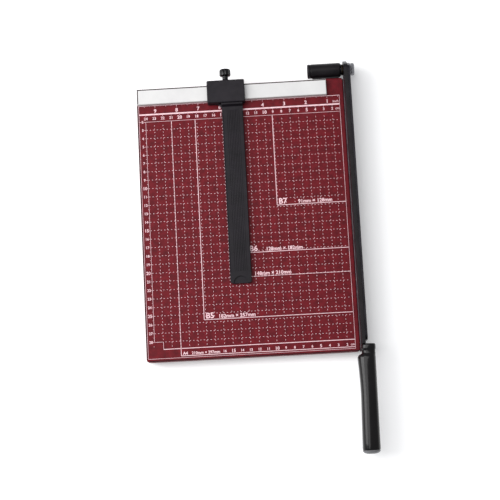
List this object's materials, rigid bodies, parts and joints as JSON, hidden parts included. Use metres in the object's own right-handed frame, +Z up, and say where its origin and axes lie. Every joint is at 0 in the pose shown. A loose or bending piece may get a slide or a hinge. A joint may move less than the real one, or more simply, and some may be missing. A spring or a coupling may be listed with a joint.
{
  "type": "guillotine paper cutter",
  "caption": "Desktop guillotine with a gridded steel bed, a hinged blade arm with a spring housing, a paper stop and a sliding side gauge.",
  "frame": {"origin": "centre of the bounding box's footprint, on the surface that the feet stand on", "axes": "+X to the cutting side (the operator's right), +Y from the operator to the hinge, +Z up"},
  "size_m": [0.2611, 0.4591, 0.0395],
  "materials": {
    "red_enamel": "satin enamel with a printed white grid",
    "white_enamel": "satin enamel",
    "black_paint": "satin black paint",
    "blade_steel": "blackened plate with a bare ground edge",
    "ground_steel": "ground",
    "zinc_plate": "bright zinc",
    "black_plastic": "fine matte",
    "grip_plastic": "glossy moulded",
    "grey_plastic": "satin moulded",
    "rubber": "matte",
    "brass": "turned"
  },
  "bodies": {
    "base": {"base_tray": "red_enamel", "stiffener_rear": "zinc_plate", "stiffener_front": "zinc_plate", "foot_1": "rubber", "foot_2": "rubber", "foot_3": "rubber", "foot_4": "rubber", "paper_stop_rule": "white_enamel", "rule_screw_1": "zinc_plate", "rule_screw_2": "zinc_plate", "rule_screw_3": "zinc_plate", "fixed_blade": "ground_steel", "fixed_blade_screw_1": "zinc_plate", "fixed_blade_screw_2": "zinc_plate", "fixed_blade_screw_3": "zinc_plate", "fixed_blade_screw_4": "zinc_plate", "fixed_blade_nut_1": "zinc_plate", "fixed_blade_nut_2": "zinc_plate", "fixed_blade_nut_3": "zinc_plate", "fixed_blade_nut_4": "zinc_plate", "hinge_bracket": "black_paint", "bracket_screw_1": "zinc_plate", "bracket_screw_2": "zinc_plate", "hinge_housing": "black_paint", "housing_end_cap": "black_plastic"},
    "arm": {"arm_bar": "black_paint", "moving_blade": "blade_steel", "moving_blade_screw_1": "zinc_plate", "moving_blade_screw_2": "zinc_plate", "moving_blade_screw_3": "zinc_plate", "moving_blade_screw_4": "zinc_plate", "handle_grip": "grip_plastic", "handle_pin": "zinc_plate", "handle_end_cap": "grey_plastic", "pivot_bolt": "zinc_plate", "pivot_nut": "zinc_plate", "arm_washer": "zinc_plate", "friction_washer": "brass", "spring_washer": "zinc_plate", "pivot_spring": "zinc_plate"},
    "side_gauge": {"gauge_head": "black_plastic", "gauge_arm": "black_plastic", "gauge_screw_1": "zinc_plate", "gauge_screw_2": "zinc_plate"},
    "clamp_screw": {"clamp_stud": "zinc_plate", "clamp_knob": "black_plastic"}
  },
  "joints": [
    {"name": "arm_hinge", "type": "hinge", "parent": "base", "child": "arm", "pos_m": [0.11947, 0.2197, 0.016], "axis": [-1, 0, 0], "range_deg": [0, 80]},
    {"name": "gauge_slide", "type": "slide", "parent": "base", "child": "side_gauge", "axis": [1, 0, 0], "range_m": [-0.08, 0.085]},
    {"name": "knob_turn", "type": "hinge", "parent": "side_gauge", "child": "clamp_screw", "pos_m": [-0.02442, 0.2073, 0.0234], "axis": [0, 1, 0], "range_deg": [0, 1080]}
  ]
}
